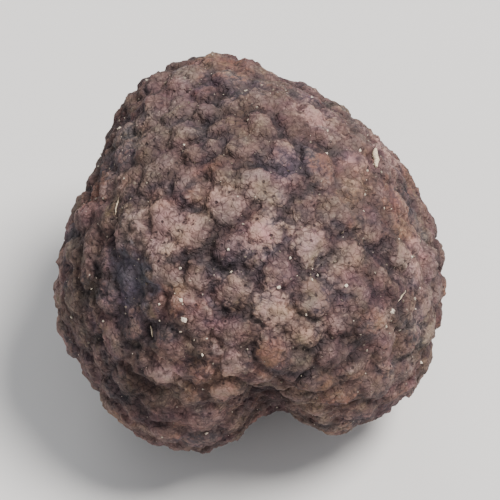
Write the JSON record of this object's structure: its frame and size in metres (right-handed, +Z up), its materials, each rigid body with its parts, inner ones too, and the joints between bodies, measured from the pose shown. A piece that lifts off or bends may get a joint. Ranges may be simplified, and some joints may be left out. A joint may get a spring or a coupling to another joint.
{
  "type": "black truffle",
  "caption": "Whole black truffle, an uneven lobed ball covered in polygonal warts parted by furrows, lying on its pressed underside.",
  "frame": {"origin": "under the middle of the truffle's outline, on the surface that it lies on", "axes": "+Z up off the surface, -Y towards the fold between the two front lobes, +X to the right of it"},
  "size_m": [0.058, 0.0554, 0.0527],
  "materials": {
    "skin": "dry, matt, dark brown warted skin, darker and bluer in the furrows"
  },
  "bodies": {
    "root": {"truffle": "skin"}
  },
  "joints": []
}
